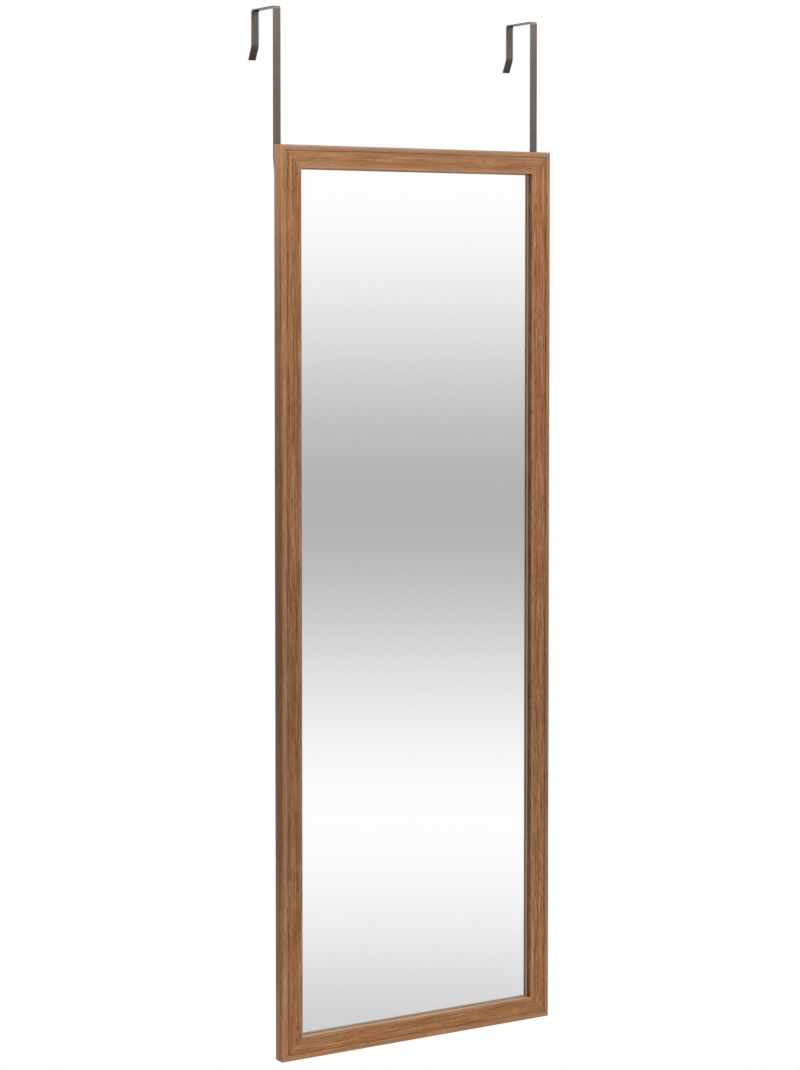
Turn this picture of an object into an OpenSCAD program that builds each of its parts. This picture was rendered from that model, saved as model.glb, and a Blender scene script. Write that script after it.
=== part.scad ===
// Over the door mirror: a mitred moulding frame that holds a sheet of mirror glass, hung from two
// flat steel straps whose hooks go over the top edge of a door.
// The origin is on the door's top edge, midway between the hooks: X runs to the right as seen from
// the front, Y runs back through the door from its front face, and Z runs up.

/* [Frame] */
// Overall width of the frame
frame_w = 380; // [300:5:500]
// Overall height of the frame
frame_h = 1080; // [800:10:1400]
// Thickness of the frame, front to back
frame_d = 18; // [17:0.5:24]
// Width of the moulding on its face
moulding_w = 28.5; // [28:0.5:40]
// Width of the lip that covers the edge of the glass
lip_w = 8.5; // [5:0.5:11]

/* [Moulding face] */
// Width of the rim along the outer edge
rim_w = 6.5; // [5:0.1:7.5]
// Radius of the rim's outer edge
rim_outer_r = 2.8; // [0.8:0.1:3.2]
// Radius of the rim's inner shoulder
rim_inner_r = 0.9; // [0.3:0.1:0.9]
// Width of the groove beside the rim
groove_w = 2.4; // [0.6:0.1:2.8]
// Depth of the groove, from the rim's top
groove_d = 1.1; // [0.9:0.1:2.5]
// Height from the rim's top down to the broad band
band_drop = 0.6; // [0.2:0.1:0.8]
// Distance from the outer edge to the step inside the broad band
step_at = 16.8; // [12:0.1:18.5]
// Height of that step
step_drop = 0.3; // [0.1:0.05:0.8]
// Distance from the outer edge to the scored line near the glass
line_at = 21.2; // [20:0.1:22.5]
// Depth of the scored line
line_d = 0.3; // [0.2:0.05:0.6]
// Radius of the edge next to the glass
sight_r = 0.7; // [0.4:0.1:2.5]
// How far the wall beside the glass leans in towards its foot
sight_draft = 1.2; // [0:0.1:1.6]

/* [Glass and back] */
// Thickness of the mirror glass
glass_t = 3; // [2:0.5:4]
// Thickness of the cushion sheet behind the glass
cushion_t = 1; // [0.5:0.5:2]
// Thickness of the backing board
board_t = 3; // [2:0.5:4]
// Distance from the frame's back in to the backing board
back_recess = 4; // [1:0.25:5]
// Gap round the edge of the glass in its rebate
glass_gap = 1; // [0.5:0.25:2]

/* [Straps] */
// Width of a strap
strap_w = 9.5; // [8:0.5:13]
// Thickness of a strap
strap_t = 1.5; // [1:0.25:2.5]
// Distance from the frame's side to a strap's middle
strap_inset = 8.5; // [6.5:0.25:10]
// Height of the hooks above the frame
strap_rise = 162.5; // [80:2.5:250]
// How far a strap reaches down behind the frame
strap_reach = 135; // [125:5:250]
// Space inside a hook for the door and its clearance
hook_gap = 52; // [38:1:60]
// Height of the hook's arm behind the door
arm_h = 59; // [45:1:90]
// Radius inside the two bends of a hook
bend_r = 2; // [1:0.25:4]
// Height of the turned-out tip of the arm
flare_h = 19; // [10:1:25]
// Angle of the turned-out tip
flare_angle = 27; // [10:1:40]
// Radius of the corners at a strap's two ends
tip_r = 0.75; // [0.5:0.25:3]
// Gap between the frame's back and the door's face
stand_off = 9; // [5:0.5:14]
// Height over which a strap leans from the frame's back to the door's face
lean_h = 60; // [40:1:75]
// Distance from the frame's top down to the end of the lean
lean_drop = 15; // [0:1:30]

/* [Screws] */
// Distance between the two screws of a strap
screw_pitch = 28; // [20:1:34]
// Distance from a strap's lower end to its lower screw
screw_foot = 12; // [8:0.5:16]
// Outer diameter of a screw's thread
screw_d = 3.5; // [2.5:0.25:4]
// Length of a screw under its head
screw_l = 13; // [10:0.5:14]
// Distance between a screw's threads
thread_pitch = 1.5; // [1.25:0.25:2]
// Diameter of a screw's head
head_d = 6.8; // [6:0.1:8]
// Height of a screw's head
head_h = 2.2; // [1.8:0.1:2.8]

/* [Bumpers] */
// Diameter of a bumper at the frame's back
bumper_d = 12; // [10:0.5:16]
// Narrowing of a bumper from its foot to its face
bumper_taper = 0.8; // [0:0.1:2]

/* [Corner nails and back points] */
// Length of each leg of a corner nail
nail_leg = 4.5; // [3:0.25:5.5]
// Thickness of a corner nail
nail_t = 0.5; // [0.4:0.1:0.8]
// Depth to which a corner nail reaches into the frame
nail_h = 10; // [7:0.5:12]
// Distance from the frame's outer edges to the outer corner nail
nail_at = 4.5; // [4:0.25:5.5]
// Distance between the two nails of a corner, along each edge
nail_pitch = 7; // [6.5:0.25:8]
// Width of a back point
point_w = 8; // [6:0.5:12]
// Thickness of a back point
point_t = 0.5; // [0.4:0.1:0.8]
// Length of a back point inside the frame
point_in = 5.5; // [3:0.25:6]
// Length of a back point over the backing board
point_out = 9; // [6:0.5:12]
// Number of back points on each stile
stile_points = 5; // [3:1:9]
// Number of back points on each rail
rail_points = 2; // [2:1:5]
// Distance from the rebate's corners to the nearest back point
point_margin = 70; // [50:5:90]

/* [Hidden] */
$fn = 48;

foil = "#966B48";      // wood-effect foil on the moulding
silver = "#C9D2D6";    // mirror glass
kraft = "#B79B74";     // cushion sheet
hardboard = "#7A5A3C"; // backing board
gunmetal = "#766C64";  // straps
zinc = "#B9BCC0";      // screws, nails and points
rubber = "#2B2B2C";    // bumpers

fit = 0.1;             // slack round what is driven or screwed into the frame
hole_slack = 0.35;     // slack round a screw in its strap
arc_steps = 8;         // steps in each rounded edge and bend

// Places across the frame's depth, from the door's face forwards
back_y = -stand_off;                         // back of the frame
front_y = back_y - frame_d;                  // top of the rim
board_y = back_y - back_recess;              // back of the backing board
cushion_y = board_y - board_t;               // back of the cushion sheet
glass_y = cushion_y - cushion_t;             // back of the glass
lip_y = glass_y - glass_t;                   // back of the lip, where the glass rests
glass_depth = lip_y - front_y;               // depth of the glass below the rim

// Places up and across
bridge_z = 0;                                // underside of a hook's bridge, on the door's top edge
top_z = bridge_z + strap_t - strap_rise;     // top of the frame
bottom_z = top_z - frame_h;                  // bottom of the frame
half_w = frame_w / 2;
mid_z = top_z - frame_h / 2;
rebate_at = moulding_w - lip_w;              // outer edge to the rebate's wall
rebate_w = frame_w - 2 * rebate_at;
rebate_h = frame_h - 2 * rebate_at;
sheet_w = rebate_w - 2 * glass_gap;          // glass, cushion and board
sheet_h = rebate_h - 2 * glass_gap;
strap_x = half_w - strap_inset;

// Points along an arc about [x, y] from one angle to another
function arc(x, y, r, from, to) =
    [for (i = [0:arc_steps]) let (a = from + (to - from) * i / arc_steps) [x + r * cos(a), y + r * sin(a)]];

// ---- Frame ------------------------------------------------------------------------------------

// Section of the moulding: X from its outer edge to the glass, Y from its front to its back
inner_y = band_drop + step_drop;             // depth of the face near the glass, below the rim
groove_floor = 0.6;                          // share of the groove's width that is its floor
back_edge = 0.4;                             // bevel along the back outer edge
wall_min = 0.5;                              // least height of the wall beside the glass
edge_r = min(sight_r, glass_depth - inner_y - wall_min); // radius of the edge next to the glass
edge_x = moulding_w - sight_draft - edge_r;  // middle of that rounded edge
edge_y = inner_y + edge_r;
wall_foot = [moulding_w - edge_x, glass_depth - edge_y]; // from that middle to the wall's foot
wall_lean = acos(edge_r / norm(wall_foot)) - atan2(wall_foot[1], wall_foot[0]);
module moulding_section()
    polygon(concat(
        arc(rim_outer_r, rim_outer_r, rim_outer_r, 180, 270),
        arc(rim_w - rim_inner_r, rim_inner_r, rim_inner_r, 270, 360),
        [[rim_w, groove_d], [rim_w + groove_w * groove_floor, groove_d]],
        [[rim_w + groove_w, band_drop], [step_at, band_drop], [step_at + step_drop, inner_y]],
        [[line_at - line_d, inner_y], [line_at, inner_y + line_d], [line_at + line_d, inner_y]],
        arc(edge_x, edge_y, edge_r, 270, 360 - wall_lean),
        [[moulding_w, glass_depth], [rebate_at, glass_depth], [rebate_at, frame_d]],
        [[back_edge, frame_d], [0, frame_d - back_edge]]));

// A straight length of moulding with its outer edge up, its ends cut to 45 degrees
module mitred_length(length) {
    intersection() {
        translate([-length / 2, front_y, 0])
            rotate([0, 90, 0])
                linear_extrude(length) moulding_section();
        translate([0, back_y, 0])
            rotate([90, 0, 0])
                linear_extrude(frame_d)
                    polygon([[-length / 2, 0], [length / 2, 0],
                        [length / 2 - moulding_w, -moulding_w], [moulding_w - length / 2, -moulding_w]]);
    }
}

// Slots for the corner nails of the whole frame
module nail_slots() {
    for (x = [-1, 1], z = [-1, 1]) corner_nails(x, z, fit);
}

module rail(z_side) {
    color(foil)
        difference() {
            translate([0, 0, mid_z])
                mirror([0, 0, z_side < 0 ? 1 : 0])
                    translate([0, 0, frame_h / 2]) mitred_length(frame_w);
            nail_slots();
            point_row(z_side > 0 ? "top" : "bottom", fit);
        }
}

module stile(x_side) {
    color(foil)
        difference() {
            translate([0, 0, mid_z])
                rotate([0, x_side * 90, 0])
                    translate([0, 0, half_w]) mitred_length(frame_h);
            nail_slots();
            point_row(x_side > 0 ? "right" : "left", fit);
            strap_screw_places(x_side) screw_pilot();
        }
}

module top_rail() rail(1);
module bottom_rail() rail(-1);
module left_stile() stile(-1);
module right_stile() stile(1);

// Plan of a corner nail, a V whose legs lie in the rail and the stile, widened by a slack
module nail_plan(slack) {
    translate([-slack, -nail_t - slack]) square([nail_leg + 2 * slack, nail_t + 2 * slack]);
    translate([-slack, -nail_leg - slack]) square([nail_t + 2 * slack, nail_leg + 2 * slack]);
}

// The two nails of one corner, driven in from the back; with a slack, their slots instead
nail_sunk = 0.3;                             // depth of a nail's end below the frame's back
module corner_nails(x_side, z_side, slack = 0) {
    from_y = slack > 0 ? back_y + slack : back_y - nail_sunk;
    to_y = back_y - nail_sunk - nail_h - slack;
    color(zinc)
        translate([0, 0, mid_z])
            mirror([x_side > 0 ? 1 : 0, 0, 0])
                mirror([0, 0, z_side < 0 ? 1 : 0])
                    for (at = [nail_at, nail_at + nail_pitch])
                        translate([at - half_w, from_y, frame_h / 2 - at])
                            rotate([90, 0, 0])
                                linear_extrude(from_y - to_y) nail_plan(slack);
}

module corner_nails_top_left() corner_nails(-1, 1);
module corner_nails_top_right() corner_nails(1, 1);
module corner_nails_bottom_left() corner_nails(-1, -1);
module corner_nails_bottom_right() corner_nails(1, -1);

// ---- Glass and back ---------------------------------------------------------------------------

// A sheet in the rebate, from its back forwards
module sheet(y, thickness) {
    translate([-sheet_w / 2, y - thickness, mid_z - sheet_h / 2]) cube([sheet_w, thickness, sheet_h]);
}

module mirror_glass() color(silver) sheet(glass_y, glass_t);
module cushion_sheet() color(kraft) sheet(cushion_y, cushion_t);
module backing_board() color(hardboard) sheet(board_y, board_t);

// One back point: a thin tab that lies on the board, with a spear end in the frame's wall
point_corner = 1.5;                          // corner cut at the tab's free end
point_spear = 0.45;                          // share of the tab's width at the spear's tip
module back_point(slack) {
    w = point_w / 2 + slack;
    tip = point_w * point_spear / 2 + slack;
    linear_extrude(point_t + 2 * slack)
        polygon([[-w, -point_out + point_corner], [-w + point_corner, -point_out],
            [w - point_corner, -point_out], [w, -point_out + point_corner],
            [w, 0], [tip, point_in + slack], [-tip, point_in + slack], [-w, 0]]);
}

// The row of back points along one side of the frame; with a slack, their slots instead
module point_row(side, slack = 0) {
    upright = side == "left" || side == "right";
    run = (upright ? rebate_h : rebate_w) / 2 - point_margin;
    count = upright ? stile_points : rail_points;
    wall = (upright ? rebate_w : rebate_h) / 2;
    turn = side == "top" ? 0 : side == "right" ? 90 : side == "bottom" ? 180 : 270;
    color(zinc)
        translate([0, board_y + point_t + slack, mid_z])
            rotate([0, turn, 0])
                for (i = [0:count - 1])
                    translate([-run + 2 * run * i / (count - 1), 0, wall])
                        rotate([90, 0, 0]) back_point(slack);
}

module back_points_top() point_row("top");
module back_points_bottom() point_row("bottom");
module back_points_left() point_row("left");
module back_points_right() point_row("right");

// ---- Straps -----------------------------------------------------------------------------------

// Stations [y, z, heading] along a strap's middle, walked from its lower end; a step is
// [length] for a straight or [radius, turn] for a bend, left turns positive
function left_of(heading) = [-sin(heading), cos(heading)];
function ahead(heading) = [cos(heading), sin(heading)];
function straight_end(s, length) = [s[0] + length * ahead(s[2])[0], s[1] + length * ahead(s[2])[1], s[2]];
function bend_station(s, r, turn, share) =
    let (side = turn > 0 ? 1 : -1, h = s[2] + turn * share,
        c = [s[0], s[1]] + r * side * left_of(s[2]), p = c - r * side * left_of(h)) [p[0], p[1], h];
function step_stations(s, step) =
    len(step) == 1 ? [straight_end(s, step[0])]
    : [for (i = [1:arc_steps]) bend_station(s, step[0], step[1], i / arc_steps)];
function walk(s, steps, i = 0) =
    i == len(steps) ? []
    : let (new = step_stations(s, steps[i])) concat(new, walk(new[len(new) - 1], steps, i + 1));

// The strap's route: screw plate, lean, riser, bridge, arm and turned-out tip
mid_r = bend_r + strap_t / 2;                // radius at the middle of a hook's bend
lean_r = 12;                                 // radius of the two slight bends of the lean
flare_r = 14;                                // radius of the bend above the tip
lean = stand_off - strap_t;                  // sideways shift of the lean
lean_angle = atan(lean / lean_h);
lean_straight = (lean - 2 * lean_r * (1 - cos(lean_angle))) / sin(lean_angle);
lean_rise = lean_straight * cos(lean_angle) + 2 * lean_r * sin(lean_angle);
foot_z = top_z - strap_reach;
plate_h = strap_reach - lean_drop - lean_h;  // flat length that is screwed to the frame
riser_h = bridge_z + strap_t / 2 - mid_r - (foot_z + plate_h + lean_rise);
bridge_l = hook_gap + strap_t - 2 * mid_r;
arm_straight = arm_h - flare_h - mid_r - strap_t / 2;
flare_l = (flare_h - flare_r * sin(flare_angle)) / cos(flare_angle);
strap_start = [back_y + strap_t / 2, foot_z, 90];
strap_steps = [[plate_h], [lean_r, -lean_angle], [lean_straight], [lean_r, lean_angle], [riser_h],
    [mid_r, -90], [bridge_l], [mid_r, -90], [arm_straight], [flare_r, flare_angle], [flare_l]];
strap_route = concat([strap_start], walk(strap_start, strap_steps));
tip = strap_route[len(strap_route) - 1];

// Side view of a strap, X forwards to back and Y up
module strap_side() {
    half = strap_t / 2;
    polygon(concat(
        [for (s = strap_route) [s[0], s[1]] + half * left_of(s[2])],
        [for (i = [len(strap_route) - 1:-1:0]) let (s = strap_route[i]) [s[0], s[1]] - half * left_of(s[2])]));
}

// What rounding takes off the two corners of a strap's end that points down at height z
corner_depth = 4 * (tip_r + strap_t);        // depth of that cut, enough for the slanting tip
module end_corners(z) {
    for (side = [-1, 1])
        translate([side * (strap_w / 2 - tip_r), 0, z + tip_r])
            rotate([90, 0, 0])
                linear_extrude(corner_depth, center = true)
                    difference() {
                        translate([side > 0 ? 0 : -2 * tip_r, -2 * tip_r]) square(2 * tip_r);
                        circle(tip_r);
                    }
}

module strap(x_side) {
    color(gunmetal)
        difference() {
            translate([x_side * strap_x, 0, 0])
                difference() {
                    translate([-strap_w / 2, 0, 0])
                        rotate([90, 0, 90])
                            linear_extrude(strap_w) strap_side();
                    translate([0, back_y, 0]) end_corners(foot_z);
                    translate([0, tip[0], 0]) end_corners(tip[1] - strap_t / 2 * sin(flare_angle));
                }
            strap_screw_places(x_side)
                rotate([90, 0, 0])
                    cylinder(d = screw_d + 2 * hole_slack, h = 2 * strap_t + 2 * hole_slack, center = true);
        }
}

module left_strap() strap(-1);
module right_strap() strap(1);

// ---- Screws -----------------------------------------------------------------------------------

// Where the screws of one strap go: the origin is under the head, on the strap's back
module strap_screw_places(x_side) {
    for (z = [screw_foot, screw_foot + screw_pitch])
        translate([x_side * strap_x, back_y + strap_t, foot_z + z]) children();
}

// Hole in the stile for a screw
module screw_pilot() {
    rotate([90, 0, 0]) cylinder(d = screw_d + 2 * fit, h = screw_l + fit);
}

// Half section of a screw: X from its axis, Y up from under its head
thread_depth = 0.55;                         // height of the thread over the core
thread_root = 0.35;                          // share of the pitch that is bare core
thread_crest = 0.65;                         // share of the pitch at which the crest stands
neck_l = 2.5;                                // plain length under the head
point_l = 3;                                 // length of the pointed end
head_edge = 0.7;                             // height of the head's rim
head_flat = 0.45;                            // share of the head's diameter that is flat on top
head_shoulder = [0.8, 0.78];                 // shares of its radius and height at its shoulder
module screw_section() {
    r = screw_d / 2;
    head_r = head_d / 2;
    core = r - thread_depth;
    turns = floor((screw_l - neck_l - point_l) / thread_pitch);
    threads = [for (i = [0:turns - 1]) let (y = -neck_l - i * thread_pitch)
        each [[core, y], [core, y - thread_pitch * thread_root], [r, y - thread_pitch * thread_crest]]];
    polygon(concat(
        [[0, head_h], [head_r * head_flat, head_h], [head_r * head_shoulder[0], head_h * head_shoulder[1]]],
        [[head_r, head_edge], [head_r, 0], [core, 0]],
        threads, [[core, -neck_l - turns * thread_pitch], [0, -screw_l]]));
}

// Cross recess in a screw's head
recess_l = 3.8;                              // length of each arm of the cross
recess_w = 0.9;                              // width of each arm
recess_d = 1.3;                              // depth of the cross
module screw() {
    rotate([-90, 0, 0])
        difference() {
            rotate_extrude() screw_section();
            for (turn = [0, 90])
                rotate([0, 0, turn])
                    translate([-recess_l / 2, -recess_w / 2, head_h - recess_d])
                        cube([recess_l, recess_w, head_h]);
        }
}

module strap_screws(x_side) color(zinc) strap_screw_places(x_side) screw();
module left_strap_screws() strap_screws(-1);
module right_strap_screws() strap_screws(1);

// ---- Bumpers ----------------------------------------------------------------------------------

// Rubber bumper at a lower corner, which keeps the frame upright against the door; it stands on
// the frame's back beside the rebate's corner
bumper_round = 1;                            // radius round the bumper's face
bumper_margin = 2;                           // from the rebate's walls to the bumper
bumper_at = rebate_at - bumper_margin - bumper_d / 2;
module bumper(x_side) {
    r = bumper_d / 2;
    face = r - bumper_taper;
    color(rubber)
        translate([x_side * (half_w - bumper_at), back_y, bottom_z + bumper_at])
            rotate([-90, 0, 0])
                rotate_extrude()
                    polygon(concat([[0, 0], [r, 0]],
                        arc(face - bumper_round, stand_off - bumper_round, bumper_round, 0, 90),
                        [[0, stand_off]]));
}

module left_bumper() bumper(-1);
module right_bumper() bumper(1);

top_rail();
bottom_rail();
left_stile();
right_stile();
corner_nails_top_left();
corner_nails_top_right();
corner_nails_bottom_left();
corner_nails_bottom_right();
mirror_glass();
cushion_sheet();
backing_board();
back_points_top();
back_points_bottom();
back_points_left();
back_points_right();
left_strap();
right_strap();
left_strap_screws();
right_strap_screws();
left_bumper();
right_bumper();
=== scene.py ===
"""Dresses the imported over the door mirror: foiled frame, silvered glass, steel straps and its studio."""

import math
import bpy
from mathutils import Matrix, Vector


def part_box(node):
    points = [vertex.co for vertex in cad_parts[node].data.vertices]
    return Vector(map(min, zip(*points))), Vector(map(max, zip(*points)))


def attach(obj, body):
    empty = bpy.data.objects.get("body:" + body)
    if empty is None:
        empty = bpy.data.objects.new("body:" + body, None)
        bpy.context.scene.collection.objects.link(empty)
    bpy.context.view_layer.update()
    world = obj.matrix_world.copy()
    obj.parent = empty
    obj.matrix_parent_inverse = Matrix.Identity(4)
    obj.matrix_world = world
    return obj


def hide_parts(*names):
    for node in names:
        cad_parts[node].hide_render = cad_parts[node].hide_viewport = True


bl_info = {
    "name": "Over the door mirror",
    "version": (1, 0, 0),
    "blender": (4, 5, 0),
    "location": "3D View > Sidebar > Door Mirror",
    "description": "Dresses a hanging mirror's frame, glass, straps and back, and sets up its studio",
    "category": "Object",
}

from collections import namedtuple

import bmesh
import bpy
from bpy.props import FloatProperty, FloatVectorProperty, PointerProperty
from mathutils import Euler, Matrix, Vector

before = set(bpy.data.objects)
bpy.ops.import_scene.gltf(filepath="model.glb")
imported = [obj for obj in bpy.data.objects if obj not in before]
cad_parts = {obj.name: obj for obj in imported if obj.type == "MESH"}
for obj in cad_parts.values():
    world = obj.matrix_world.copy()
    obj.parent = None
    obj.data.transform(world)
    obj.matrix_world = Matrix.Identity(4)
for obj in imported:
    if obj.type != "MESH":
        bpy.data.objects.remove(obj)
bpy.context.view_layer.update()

MM = 0.001
MERGE = 0.001 * MM  # points closer together than this are one
FLAT = math.radians(0.2)  # faces that meet at less than this are one
TOUCH = 0.01 * MM  # a face this close to a plane lies in it
SQUARE_ON = 0.99  # least cosine between a face's normal and the way it is said to face
ASKEW = 0.01  # most that a normal may lean towards an axis that its face runs along
BODY = "root"
SIDES = ("left", "right")
CORNERS = ("top_left", "top_right", "bottom_left", "bottom_right")
EDGES = ("top", "bottom", "left", "right")
UPRIGHT_TO_BACK = Matrix.Rotation(math.radians(-90), 4, "X")  # turns +Z to +Y

# Each length of moulding: the axis that points to its outer edge (0 is X, 2 is Z) and its sign, where
# its foil was cut from the roll, how bright and how contrasty its foil is drawn, how much its band
# has faded, how strong the painted sheen on its rim is, as a share of the rim stops, how pale its wall
# beside the glass is drawn, which is painted light on the bottom rail's wall, which faces up, and
# painted shade on the others, and how far painted sheen greys that wall
Member = namedtuple("Member", "axis sign roll tone contrast faded rim wall wall_worn")
MEMBERS = {
    "top_rail": Member(2, 1, (0.113, 0.041, 0.26), 0.95, 0.7, 0.14, 0.79, 0.42, 0.0),
    "bottom_rail": Member(2, -1, (0.571, 0.087, 0.93), 0.95, 0.75, 0.04, 0.88, 1.85, 0.55),
    "left_stile": Member(0, -1, (0.217, 0.019, 0.35), 0.82, 1.0, 0.0, 1.12, 0.6, 0.05),
    "right_stile": Member(0, 1, (0.839, 0.063, 0.71), 0.91, 1.15, 0.0, 0.78, 0.6, 0.0),
}
# How the foil is drawn across the moulding: millimetres in from the outer edge, how pale the foil is
# there, from 0 where it is darkest to 1 where it is palest, and how far it leans to the wear-and-sheen
# colour. The band is stain, darkest in the groove. The side stop paints shade, and the rim stops and
# the band's last two stops paint sheen
# Painted shade: the frame's outer sides are drawn dark
SIDE_PAINTED_SHADE = (0.0, 0.2, 0.0)
# Painted sheen: the rim is drawn paler and greyer
RIM_SHEEN_STOPS = ((0.4, 0.62, 0.35), (1.5, 0.78, 0.4), (3.5, 0.8, 0.38), (5.5, 0.86, 0.3))
BAND_STOPS = (
    (6.7, 0.66, 0.1),
    (7.7, 0.48, 0.0),
    (9.4, 0.58, 0.0),
    (12.8, 0.7, 0.0),
    (16.0, 0.64, 0.0),
    (20.6, 0.56, 0.0),
    (23.6, 0.66, 0.0),
    # Painted sheen on the rounded sight edge: paler and greyer
    (25.2, 0.84, 0.25),
    (26.7, 0.78, 0.35),
)
# Where the wall beside the glass begins. Each member's wall value there is painted light on the bottom rail
# and painted shade on the others
WALL_AT = 27.3
# This scale draws the stain and the painted light and shade together
STAIN_AND_LIGHT_REACH = 30 * MM
STAIN_AND_LIGHT_DARK, STAIN_AND_LIGHT_PALE = 0.5, 1.25  # what the two ends of that scale multiply the print by
# Painted light: how much brighter or darker the foil is drawn along the frame's height, for the light
# that falls stronger near its top and bottom, from its bottom at 0 to its top at 1
PAINTED_LIGHT_BY_HEIGHT = (
    (0.0, 1.07),
    (0.12, 1.08),
    (0.25, 0.93),
    (0.38, 0.88),
    (0.55, 0.97),
    (0.75, 1.02),
    (0.9, 1.08),
    (1.0, 1.16),
)
# The frame's sides are drawn greyer from the first of these places in Y back to the second, and
# greyer still near the frame's top and bottom, which is a painted sheen. Least and most: how far from
# mid-height, as a share of the frame's height, and how grey
SIDE_GREY_FROM, SIDE_GREY_TO = -18.5 * MM, -10 * MM
SHEEN_GREY_LEAST, SHEEN_GREY_MOST = (0.15, 0.52), (0.45, 0.88)
FRAME_BOTTOM, FRAME_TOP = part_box("bottom_rail")[0].z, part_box("top_rail")[1].z
LIP_GLOW = 0.4  # light that reaches the bare lip through the glass, which the renderer doesn't trace
MITRE_AREA = 100 * MM**2  # a mitre's cut face is larger than this, and the facets in holes are smaller

# Widths across and lengths along of the marks in each pattern. Walnut's pores are 0.2 mm wide, rolling
# lines and a plating's crystals about 0.1 mm, and fibres and a mould's grain less. That is too fine to
# show in the render, so they are drawn as coarse as they need to be
PRINT_WANDER = (25 * MM, 140 * MM)
PRINT_FLECK = (1.1 * MM, 9 * MM)
PRINT_STREAK = (4 * MM, 130 * MM)
PRINT_PORE = (0.9 * MM, 10 * MM)
BOARD_FIBRE = (1.2 * MM, 2.4 * MM)
STEEL_ROLLED = (1.1 * MM, 90 * MM)
STEEL_CLOUD = (18 * MM, 30 * MM)
ZINC_CRYSTAL = (1.4 * MM, 1.4 * MM)
HARDBOARD_CLOT = (5 * MM, 6 * MM)
HARDBOARD_WEAVE = (1.3 * MM, 1.3 * MM)  # the real wire screen's
KRAFT_FIBRE = (0.8 * MM, 6 * MM)
RUBBER_GRAIN = (0.4 * MM, 0.4 * MM)

# A bumper's side and face: millimetres in from its foot's radius, and millimetres down from its face
BUMPER_OUTLINE = ((0.75, 1.2), (0.9, 0.6), (1.3, 0.2), (1.9, 0.0), (2.6, 0.0), (3.2, 0.3))
BUMPER_DISH = 0.4 * MM
BUMPER_FOOT_EDGE = 0.3 * MM

HEAD_HEIGHT = 2.2 * MM
# A pan head, as shares of its radius and its height, from the rim of its flat top down to its seat
HEAD_OUTLINE = ((0.7, 0.92), (0.84, 0.8), (0.94, 0.62), (0.99, 0.42), (1.0, 0.28), (1.0, 0.05), (0.97, 0.0))
HEAD_CROWN = 0.96 * HEAD_HEIGHT
CORE_RADIUS, CREST_RADIUS = 1.2 * MM, 1.75 * MM
NECK_FLARE, NECK_LENGTH = 1.1, 0.3 * MM  # the flare is a share of the core's radius
POINT_LENGTH = 3 * MM
TIP_LENGTH, TIP_RADIUS = 0.2 * MM, 0.25 * CORE_RADIUS
THREAD_PITCH, THREAD_WIDTH = 1.5 * MM, 0.9 * MM
THREAD_FROM, THREAD_SHORT = 2.5 * MM, 3.5 * MM  # from so far under the head to so far short of the tip
THREAD_STEPS = 16  # facets in one turn
CROSS_ARM, CROSS_HALF_WIDTH, CROSS_DEPTH = 1.9 * MM, 0.45 * MM, 1.3 * MM
CROSS_FLOOR = 0.6  # the recess's floor, as a share of its mouth

# ---- Small tools ---------------------------------------------------------------------------------


def colour(code):
    """A hex sRGB colour as linear red, green and blue."""
    parts = [int(code[i : i + 2], 16) / 255 for i in (1, 3, 5)]
    return tuple(c / 12.92 if c <= 0.04045 else ((c + 0.055) / 1.055) ** 2.4 for c in parts)


def rgba(linear):
    """A linear colour as the four numbers that a socket takes."""
    return (*linear, 1.0)


def add(tree, kind, inputs=None, **settings):
    """Adds a node: settings go on the node, and inputs are values or sockets to link."""
    node = tree.nodes.new(kind)
    for name, value in settings.items():
        setattr(node, name, value)
    for key, value in (inputs or {}).items():
        if isinstance(value, bpy.types.NodeSocket):
            tree.links.new(value, node.inputs[key])
        else:
            node.inputs[key].default_value = value
    return node


def ramp(node, stops):
    """Sets a Color Ramp's stops, given as (place, colour)."""
    band = node.color_ramp.elements
    while len(band) > 1:
        band.remove(band[-1])
    band[0].position, band[0].color = stops[0]
    for place, shade in stops[1:]:
        band.new(place).color = shade
    return node.outputs["Color"]


def new_material(name):
    """An empty material, its node tree and its Principled shader, already at the output."""
    material = bpy.data.materials.new(name)
    material.use_nodes = True
    tree = material.node_tree
    tree.nodes.clear()
    shader = add(tree, "ShaderNodeBsdfPrincipled")
    add(tree, "ShaderNodeOutputMaterial", {"Surface": shader.outputs["BSDF"]})
    return material, tree, shader


def connect(tree, shader, **sockets):
    """Links outputs to the shader's inputs, whose names have _ for a space."""
    for name, source in sockets.items():
        tree.links.new(source, shader.inputs[name.replace("_", " ")])


def stretched(tree, across, along, turn=(0, 0, 0), shift=(0, 0, 0)):
    """Object coordinates in which a pattern of size 1 is across metres wide and along metres long in Z."""
    place = add(tree, "ShaderNodeTexCoord").outputs["Object"]
    moved = add(tree, "ShaderNodeMapping", {"Vector": place, "Rotation": turn, "Location": shift})
    scaled = add(
        tree,
        "ShaderNodeMapping",
        {"Vector": moved.outputs["Vector"], "Scale": (1 / across, 1 / across, 1 / along)},
    )
    return scaled.outputs["Vector"]


def put_on(node, *materials):
    """Gives a CAD node its materials."""
    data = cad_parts[node].data
    data.materials.clear()
    for material in materials:
        data.materials.append(material)
    return data


def new_piece(name, bm, materials, stands_for):
    """Makes an object of a finished bmesh, rides it on the body and hides the CAD node it stands for."""
    mesh = bpy.data.meshes.new(name)
    bm.to_mesh(mesh)
    bm.free()
    for material in materials:
        mesh.materials.append(material)
    piece = bpy.data.objects.new(name, mesh)
    bpy.context.scene.collection.objects.link(piece)
    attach(piece, BODY)
    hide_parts(stands_for)
    return piece


def smooth(piece, angle=30):
    """Smooth shading with the edges sharper than the angle kept sharp."""
    piece.data.shade_smooth()
    piece.data.set_sharp_from_angle(angle=math.radians(angle))


# ---- Settings ------------------------------------------------------------------------------------


def tint(name, code, description):
    """A setting that holds a colour, whose default is a hex sRGB code."""
    return FloatVectorProperty(
        name=name,
        description=description,
        subtype="COLOR",
        size=3,
        min=0,
        max=1,
        default=colour(code),
    )


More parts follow.
